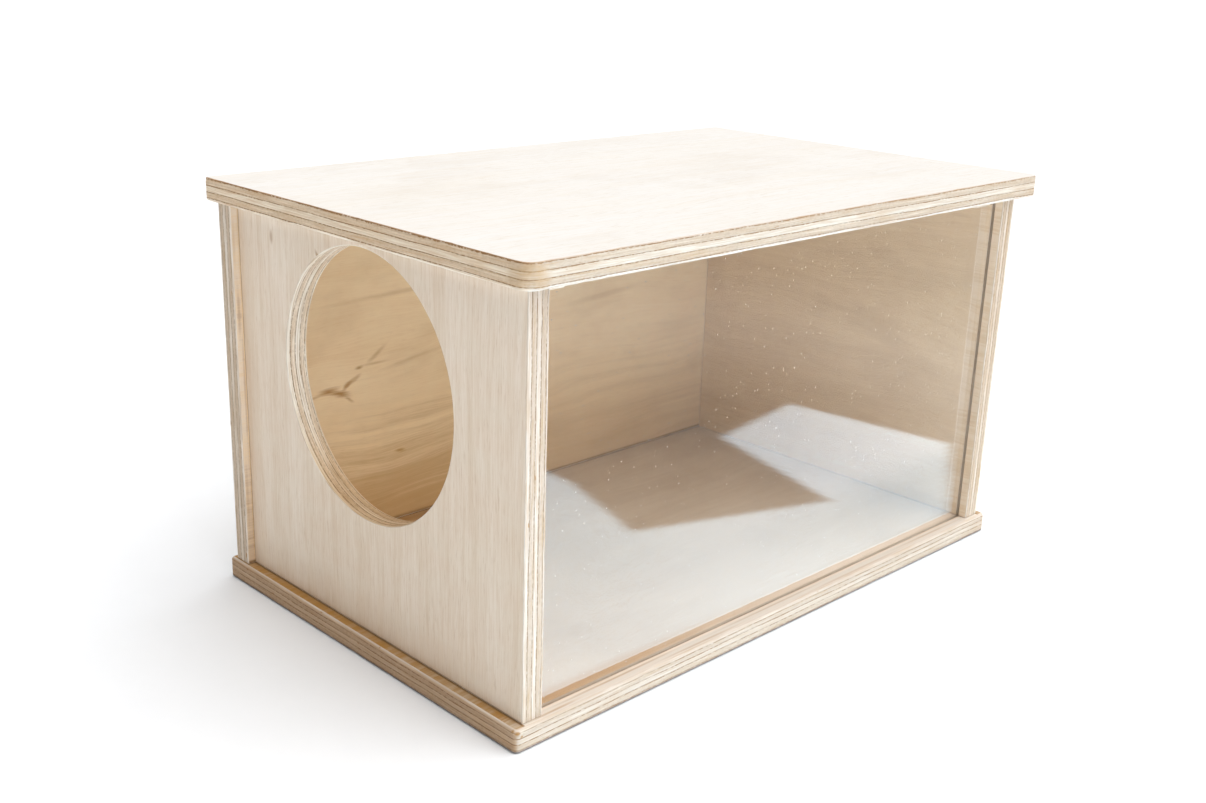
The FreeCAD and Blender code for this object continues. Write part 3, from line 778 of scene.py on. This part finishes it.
make_board(
    "base_board", "base_plate", "box", (X, Y, Z), (2.2, 2.2, 2.2, 2.2), (1.3, 3.6, 5.8, 7.8), BASE_PLIES,
    base_face, 1, (groove_cutter(), screw_cutter()), chips=16, rounds_mm=(0.9, 1.5),
    # the base takes a painted contact shadow on its lowest arris
    end_tone=(0.80, 0.635, 0.47), torn=(0.5, 0.0), foot=True, weathered=0.62,
    spots=[
        (-146.6, -89.9, 7.6, 1.1, 0.9, STREAK_AND_SHADE), (-145.3, -90.6, 6.4, 0.8, 0.8, STREAK_AND_SHADE),
        (-147.3, -88.6, 8.2, 0.8, 0.7, STREAK_AND_SHADE),
    ],
)

SQUARE_CORNERS_MM = (0.5, 0.5, 0.5, 0.5)
LEFT_GLUE_MM = (1.8, 3.9, 5.9, 8.1)
left_low, left_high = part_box("left_side_panel")
make_board(
    "left_side_board", "left_side_panel", "box", (Y, Z, X), SQUARE_CORNERS_MM, LEFT_GLUE_MM, LEFT_PLIES,
    veneer("left_side_face", Z, Y, 2, wave=9.0, marks=LEFT_MARKS, seams=SIDE_SEAMS, grain=1.15), 2,
    (entrance_cutter(left_low, left_high, lines(*LEFT_GLUE_MM)), groove_cutter(), screw_cutter()),
    bore=ply_edge(
        "entrance_bore", X, left_low[X], LEFT_GLUE_MM, (left_high[X] - left_low[X]) / MM, 8, BORE_PLIES,
        Z, (0.80, 0.67, 0.52), one_sided=True),
)
right_face = veneer(
    "right_side_face", Y, Z, 3, HONEY, DARK_HONEY, 30.0, RIGHT_MARKS, grain=0.45, clouds=0.26,
    # painted light: a lighter tone on the inside face's strip by the pane's edge
    tone_zones=[((0.95, 0.81, 0.645), Y, -1, PANE_REAR_MM - 6.0)],
    seams=[(Z, BASE_TOP_MM, 0.45), (Y, BACK_INNER_MM, 0.5)],
)
make_board(
    "right_side_board", "right_side_panel", "box", (Y, Z, X), SQUARE_CORNERS_MM, (0.9, 3.1, 5.2, 7.3),
    RIGHT_PLIES, right_face, 3, (groove_cutter(), screw_cutter()),
    outer=veneer("right_side_outer_face", Z, Y, 6, wave=12.0, seams=SIDE_SEAMS, grain=1.1),
)
back_face = veneer(
    "back_face", X, Z, 4, BACK_CREAM, BACK_TAN, 22.0, BACK_MARKS, grain=0.55, clouds=0.30, gloss=0.35,
    tone_zones=[((0.92, 0.785, 0.640), X, -1, SIDE_OUTER_MM - 0.15)], seams=[(Z, BASE_TOP_MM, 2.0)],
)
make_board(
    "back_board", "back_panel", "box", (X, Z, Y), SQUARE_CORNERS_MM, (1.2, 3.4, 5.6, 7.8), PLIES,
    back_face, 4, (screw_cutter(),),
    outer=veneer("back_outer_face", X, Z, 7, wave=26.0, seams=[(Z, BASE_TOP_MM, 1.0)], grain=1.1),
)
make_board(
    "lid_board", "lid_plate", "lid", (X, Y, Z), (5.0, 1.5, 1.5, 5.0), (1.1, 3.5, 6.1, 8.6), LID_PLIES,
    veneer("lid_face", X, Y, 5, PALE_CREAM, PALE_TAN, grain=1.25, clouds=0.14, gloss=0.15), 5, (pin_cutter(),),
    chips=60, end_tone=(1.17, 1.06, 0.92), torn=(0.0, 0.9), weathered=0.85,
    spots=[
        (-147.5, -95.0, 168.6, 6.0, 0.55, SCORCH), (-149.5, -90.0, 166.0, 5.0, 0.4, SCORCH),
        (-144.0, -96.0, 165.2, 5.0, 0.45, SCORCH),
    ],
)

# ---------------------------------------------------------------- pane

pane_rounding = arc_levels(0.3 * MM, 3)
thickness = pane_high[Y] - pane_low[Y]
outline = rounded_outline((pane_low[X], pane_low[Z]), (pane_high[X], pane_high[Z]), [0.4 * MM] * 4)
levels = pane_rounding + [(thickness - height, inset) for height, inset in reversed(pane_rounding)]
bm = bmesh.new()
loft(bm, [
    [(a - na * inset, pane_low[Y] + height, b - nb * inset) for (a, b), (na, nb) in outline]
    for height, inset in levels
])
pane = finish_mesh("clear_pane", bm)
pane.data.materials.append(clear_acrylic("acrylic_clear"))
pane.data.materials.append(clear_acrylic("acrylic_sawn_edge", 0.5, 0.02))
for polygon in pane.data.polygons:
    polygon.material_index = 0 if abs(polygon.normal[Y]) > 0.99 else 1
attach(pane, "pane")
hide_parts("front_pane")
pane.visible_shadow = False
pane.visible_diffuse = False

# ---------------------------------------------------------------- fasteners and blocks

SEGMENTS = 32
SHANK_RADIUS_MM = 1.45
# depth and radius of the head and the plain shank, then the thread, then the point
SCREW_PROFILE_MM = [
    (0.30, 2.72), (0.33, 2.88), (0.42, 2.96), (0.60, 2.96), (2.05, SHANK_RADIUS_MM), (9.0, SHANK_RADIUS_MM)]
THREAD_START_MM, THREAD_END_MM, THREAD_PITCH_MM, THREAD_DEPTH_MM = 9.3, 23.5, 1.8, 0.42
THREAD_STEEPNESS = 3.0
RINGS_PER_TURN = 8
SCREW_TIP_MM, TIP_RADIUS_MM = 25.2, 0.12
RECESS_LENGTH, RECESS_WIDTH, RECESS_DEPTH = 3.0 * MM, 0.8 * MM, 1.2 * MM
HEAD_TOP = 0.3 * MM            # how far the screw's head lies below the board's face
BRAD_PROFILE_MM = [
    (0.0, 0.62), (0.06, 0.95), (0.2, 1.13), (0.36, 1.17), (0.74, 1.17), (0.8, 0.68), (9.0, 0.68), (10.0, 0.12)]


def screw_template():
    """A countersunk screw that points along +Z from the board's face, with a thread and a cross recess."""
    rings = [[(depth, radius)] * SEGMENTS for depth, radius in SCREW_PROFILE_MM]
    steps = round((THREAD_END_MM - THREAD_START_MM) / (THREAD_PITCH_MM / RINGS_PER_TURN))
    for k in range(steps + 1):
        depth = THREAD_START_MM + (THREAD_END_MM - THREAD_START_MM) * k / steps
        ring = []
        for i in range(SEGMENTS):
            turn = (depth / THREAD_PITCH_MM - i / SEGMENTS) % 1.0
            valley = min(1.0, THREAD_STEEPNESS * abs(turn - 0.5))
            ring.append((depth, SHANK_RADIUS_MM - THREAD_DEPTH_MM * valley))
        rings.append(ring)
    rings.append([(SCREW_TIP_MM, TIP_RADIUS_MM)] * SEGMENTS)
    turns = [2 * math.pi * i / SEGMENTS for i in range(SEGMENTS)]
    bm = bmesh.new()
    loft(bm, [
        [(r * MM * math.cos(turn), r * MM * math.sin(turn), d * MM) for turn, (d, r) in zip(turns, ring)]
        for ring in rings
    ])
    obj = finish_mesh("screw_template", bm)
    for length, width in ((RECESS_LENGTH, RECESS_WIDTH), (RECESS_WIDTH, RECESS_LENGTH)):
        bm = bmesh.new()
        add_box(bm, (-length / 2, -width / 2, -MM), (length / 2, width / 2, HEAD_TOP + RECESS_DEPTH))
        cut(obj, bm)
    return obj


def fasteners(name, node, body, template, places):
    """Copies of one fastener, joined into the piece that stands for the CAD node."""
    bm = bmesh.new()
    for place in places:
        first = len(bm.verts)
        bm.from_mesh(template.data)
        bm.verts.ensure_lookup_table()
        bmesh.ops.transform(bm, matrix=place, verts=bm.verts[first:])
    obj = finish_mesh(name, bm)
    obj.data.materials.append(steel)
    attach(obj, body)
    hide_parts(node)


def any_turn():
    """A screw's own turn about its axis."""
    return Matrix.Rotation(random.uniform(0, 1.5), 4, "Z")


steel = screw_steel()
screw = screw_template()
middles = [(low + high) / 2 for low, high in base_screws]
fasteners("base_screw_set", "base_screws", "box", screw, [
    Matrix.Translation((middle.x, middle.y, 0.0)) @ any_turn() for middle in middles
])
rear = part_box("back_panel")[1][Y]
middles = [(low + high) / 2 for low, high in back_screws]
fasteners("back_screw_set", "back_screws", "box", screw, [
    Matrix.Translation((middle.x, rear, middle.z)) @ Matrix.Rotation(math.pi / 2, 4, "X") @ any_turn()
    for middle in middles
])
bpy.data.objects.remove(screw)

bm = bmesh.new()
lathe(bm, Vector((0, 0, 0)), Z, [(d * MM, r * MM) for d, r in BRAD_PROFILE_MM], 24)
brad = finish_mesh("brad_template", bm)
fasteners("block_brads", "block_pins", "lid", brad, [
    Matrix.Translation(((low.x + high.x) / 2, (low.y + high.y) / 2, low.z)) for low, high in block_pins
])
bpy.data.objects.remove(brad)

block_face = veneer("block_wood_grain", Y, X, 6, CREAM, TAN, 8.0)
for corner in ("front_left", "front_right", "rear_left", "rear_right"):
    node = f"lid_block_{corner}"
    low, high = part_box(node)
    block = board_mesh(f"block_{corner}", low, high, (X, Y, Z), [MM] * 4, (), (0.8 * MM, 0.3 * MM), 3)
    cut(block, pin_cutter())
    block.data.materials.clear()
    block.data.materials.append(block_face)
    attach(block, "lid")
    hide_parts(node)

# ---------------------------------------------------------------- studio

FLOOR_HALF_SIDE = 40.0
# A card flat on the floor in front of the box, seen only in reflections: a bright sheet with this outline on a
# dark surround, which keeps the floor's white off the rest of the pane.
SHEET_OUTLINE = [Vector(point) for point in (
    (-0.30, -0.092), (0.135, -0.089), (0.241, -0.156), (0.227, -0.259), (0.149, -0.246),
    (0.120, -0.148), (0.016, -0.185), (0.037, -0.250), (0.036, -0.45), (-0.30, -0.45),
)]
SHEET_SOFTNESS = 3.5 * MM      # half the width of the sheet's blurred edge
CARD_STEP = 4 * MM             # spacing of the card's vertices
CARD_HEIGHT = 0.6 * MM         # above the floor
card_low, card_high = Vector((-0.30, -0.78)), Vector((1.10, -0.0915))
veil_centre = Vector((0.115, -0.255))


def stage_mesh(name, points, faces):
    mesh = bpy.data.meshes.new(name)
    mesh.from_pydata(points, [], faces)
    obj = bpy.data.objects.new(name, mesh)
    bpy.context.scene.collection.objects.link(obj)
    return obj


def outline_distance(point):
    """Distance from a point to the bright sheet's outline, positive inside it."""
    nearest, inside = math.inf, False
    for a, b in zip(SHEET_OUTLINE, SHEET_OUTLINE[1:] + SHEET_OUTLINE[:1]):
        share = max(0.0, min(1.0, (point - a).dot(b - a) / (b - a).length_squared))
        nearest = min(nearest, (point - a - (b - a) * share).length)
        if (a.y > point.y) != (b.y > point.y) and point.x < a.x + (point.y - a.y) * (b.x - a.x) / (b.y - a.y):
            inside = not inside
    return nearest if inside else -nearest


def smooth(value, low, high):
    """0 below low, 1 above high, and a smooth step between them."""
    share = max(0.0, min(1.0, (value - low) / (high - low)))
    return share * share * (3 - 2 * share)


def card_light(point):
    """What the card gives off: a cool bright sheet over a dark veil that fades out towards the floor's white."""
    sheet = smooth(outline_distance(point), -SHEET_SOFTNESS, SHEET_SOFTNESS)
    veil = 0.12 + 1.15 * smooth((point - veil_centre).length, 0.05, 0.28) - 0.8 * smooth(point.x, 0.30, 0.60)
    right = smooth(point.x, 0.0, 0.13)
    near = smooth(point.y, -0.17, -0.13)
    power = 6.4 - 0.65 * right - 0.65 * near - 0.85 * right * near
    tint = (
        0.63 + 0.085 * right - 0.07 * near - 0.07 * right * near,
        0.855 + 0.02 * right - 0.045 * near,
        1.0,
    )
    return [veil * (1 - sheet) + power * channel * sheet for channel in tint]


floor = stage_mesh("studio_floor", [
    (x * FLOOR_HALF_SIDE, y * FLOOR_HALF_SIDE, 0) for x, y in ((-1, -1), (1, -1), (1, 1), (-1, 1))
], [(0, 1, 2, 3)])
g = Graph("studio_floor")
speckle = g.noise(g.node("ShaderNodeTexCoord").outputs["Object"], 60.0, 3.0)
paint = g.mix(speckle, (0.915, 0.930, 0.950), (0.945, 0.960, 0.980))
floor.data.materials.append(g.finish(paint, 0.7, speckle, 0.05, 0.1))

card_size = card_high - card_low
columns, rows = round(card_size.x / CARD_STEP), round(card_size.y / CARD_STEP)
card_points = [
    Vector((card_low.x + card_size.x * i / columns, card_low.y + card_size.y * j / rows))
    for j in range(rows + 1) for i in range(columns + 1)
]
card = stage_mesh("reflector_card", [(p.x, p.y, CARD_HEIGHT) for p in card_points], [
    (k, k + 1, k + columns + 2, k + columns + 1)
    for j in range(rows) for k in range(j * (columns + 1), j * (columns + 1) + columns)
])
light = card.data.color_attributes.new("light", "FLOAT_COLOR", "POINT")
for datum, point in zip(light.data, card_points):
    datum.color = (*card_light(point), 1.0)
g = Graph("reflector_card")
g.nodes.remove(g.shader)
glow = g.node("ShaderNodeEmission", g.node("ShaderNodeVertexColor", layer_name="light").outputs[0])
g.links.new(glow.outputs[0], g.nodes["Material Output"].inputs["Surface"])
card.data.materials.append(g.material)
card.visible_camera = False
card.visible_diffuse = False
card.visible_transmission = False
card.visible_shadow = False

# The world is one broad soft light from above, in front and a little to the right, over a weak even one. The
# camera sees it plain white.
TOWARDS_LIGHT = Vector((0.30, -0.36, 0.87)).normalized()
FILL, KEY, BACKDROP = 0.105, 2.66, 1.6

scene = bpy.context.scene
world = bpy.data.worlds.new("studio")
scene.world = world
world.use_nodes = True
nodes, links = world.node_tree.nodes, world.node_tree.links
background = nodes["Background"]
background.inputs["Color"].default_value = (1.0, 1.0, 1.0, 1.0)


def world_node(kind, *values, **settings):
    """A new node of the world with these settings, and these values in its first inputs; its outputs."""
    made = nodes.new(kind)
    for key, value in settings.items():
        setattr(made, key, value)
    for socket, value in zip(made.inputs, values):
        if isinstance(value, bpy.types.NodeSocket):
            links.new(value, socket)
        else:
            socket.default_value = value
    return made.outputs


direction = world_node("ShaderNodeTexCoord")["Generated"]
facing = world_node("ShaderNodeVectorMath", direction, TOWARDS_LIGHT, operation="DOT_PRODUCT")["Value"]
lobe = world_node("ShaderNodeMapRange", facing, 0.3, 1.0, FILL, KEY, interpolation_type="SMOOTHSTEP")[0]
seen = world_node("ShaderNodeLightPath")["Is Camera Ray"]
strength = world_node("ShaderNodeMapRange", seen, 0.0, 1.0, lobe, BACKDROP)[0]
links.new(strength, background.inputs["Strength"])

# ---------------------------------------------------------------- camera

# Found by fitting the straight edges of the box to the photo.
HEADING, DOWN, ROLL = math.radians(44.779), math.radians(18.194), math.radians(1.863)
CAMERA_PLACE = (-0.41806, -0.39928, 0.26170)
SENSOR_MM, LENS_MM = 36.0, 41.525
forward = Vector((math.sin(HEADING) * math.cos(DOWN), math.cos(HEADING) * math.cos(DOWN), -math.sin(DOWN)))
level_right = Vector((math.cos(HEADING), -math.sin(HEADING), 0.0))
level_up = level_right.cross(forward)
right = math.cos(ROLL) * level_right + math.sin(ROLL) * level_up
up = math.cos(ROLL) * level_up - math.sin(ROLL) * level_right
lens = bpy.data.cameras.new("camera")
lens.sensor_width = SENSOR_MM
lens.lens = LENS_MM
lens.clip_start = 0.01
lens.clip_end = 200.0
camera = bpy.data.objects.new("camera", lens)
turned = Matrix((right, up, -forward)).transposed().to_4x4()
camera.matrix_world = Matrix.Translation(CAMERA_PLACE) @ turned
scene.collection.objects.link(camera)
scene.camera = camera
scene.view_settings.view_transform = "Standard"
scene.cycles.use_denoising = True
scene.cycles.sampling_pattern = "TABULATED_SOBOL"
